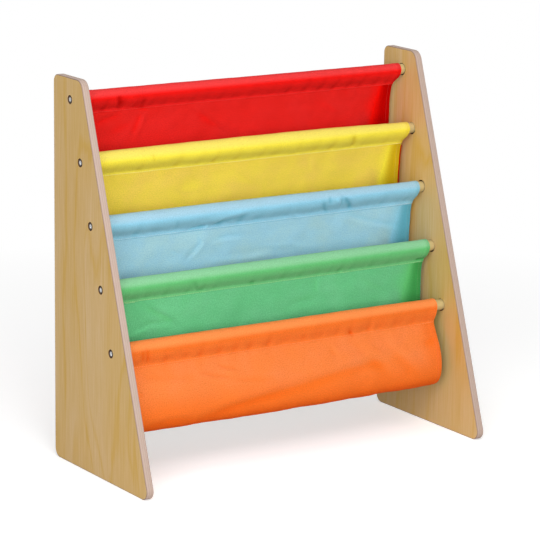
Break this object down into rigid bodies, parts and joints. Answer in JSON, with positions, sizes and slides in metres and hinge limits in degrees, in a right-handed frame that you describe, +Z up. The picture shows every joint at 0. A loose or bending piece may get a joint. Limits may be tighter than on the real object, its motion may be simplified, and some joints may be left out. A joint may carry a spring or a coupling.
{
  "type": "kids sling bookshelf",
  "caption": "Child's sling bookshelf: raked plywood side panels, bolted dowels and coloured cloth slings that form a row of stepped book pockets.",
  "frame": {"origin": "on the floor, under the middle of the shelf: the centre of the bounding box in X and Y, at its lowest Z", "axes": "+X to the right seen from the front, along the dowels; +Y to the back; +Z up"},
  "size_m": [0.624, 0.278, 0.6],
  "materials": {
    "panel_plywood": "satin clear lacquer over birch plywood",
    "dowel_wood": "sanded hardwood, clear sealed",
    "bolt_zinc": "bright zinc plate",
    "insert_steel": "plain zinc plate",
    "red_cloth": "plain woven, matt",
    "yellow_cloth": "plain woven, matt",
    "blue_cloth": "plain woven, matt",
    "green_cloth": "plain woven, matt",
    "orange_cloth": "plain woven, matt"
  },
  "bodies": {
    "root": {"right_panel": "panel_plywood", "left_panel": "panel_plywood", "dowel_1": "dowel_wood", "insert_left_1": "insert_steel", "bolt_left_1": "bolt_zinc", "insert_right_1": "insert_steel", "bolt_right_1": "bolt_zinc", "dowel_2": "dowel_wood", "insert_left_2": "insert_steel", "bolt_left_2": "bolt_zinc", "insert_right_2": "insert_steel", "bolt_right_2": "bolt_zinc", "dowel_3": "dowel_wood", "insert_left_3": "insert_steel", "bolt_left_3": "bolt_zinc", "insert_right_3": "insert_steel", "bolt_right_3": "bolt_zinc", "dowel_4": "dowel_wood", "insert_left_4": "insert_steel", "bolt_left_4": "bolt_zinc", "insert_right_4": "insert_steel", "bolt_right_4": "bolt_zinc", "dowel_5": "dowel_wood", "insert_left_5": "insert_steel", "bolt_left_5": "bolt_zinc", "insert_right_5": "insert_steel", "bolt_right_5": "bolt_zinc", "sling_red": "red_cloth", "sling_yellow": "yellow_cloth", "sling_blue": "blue_cloth", "sling_green": "green_cloth", "sling_orange": "orange_cloth"}
  },
  "joints": []
}
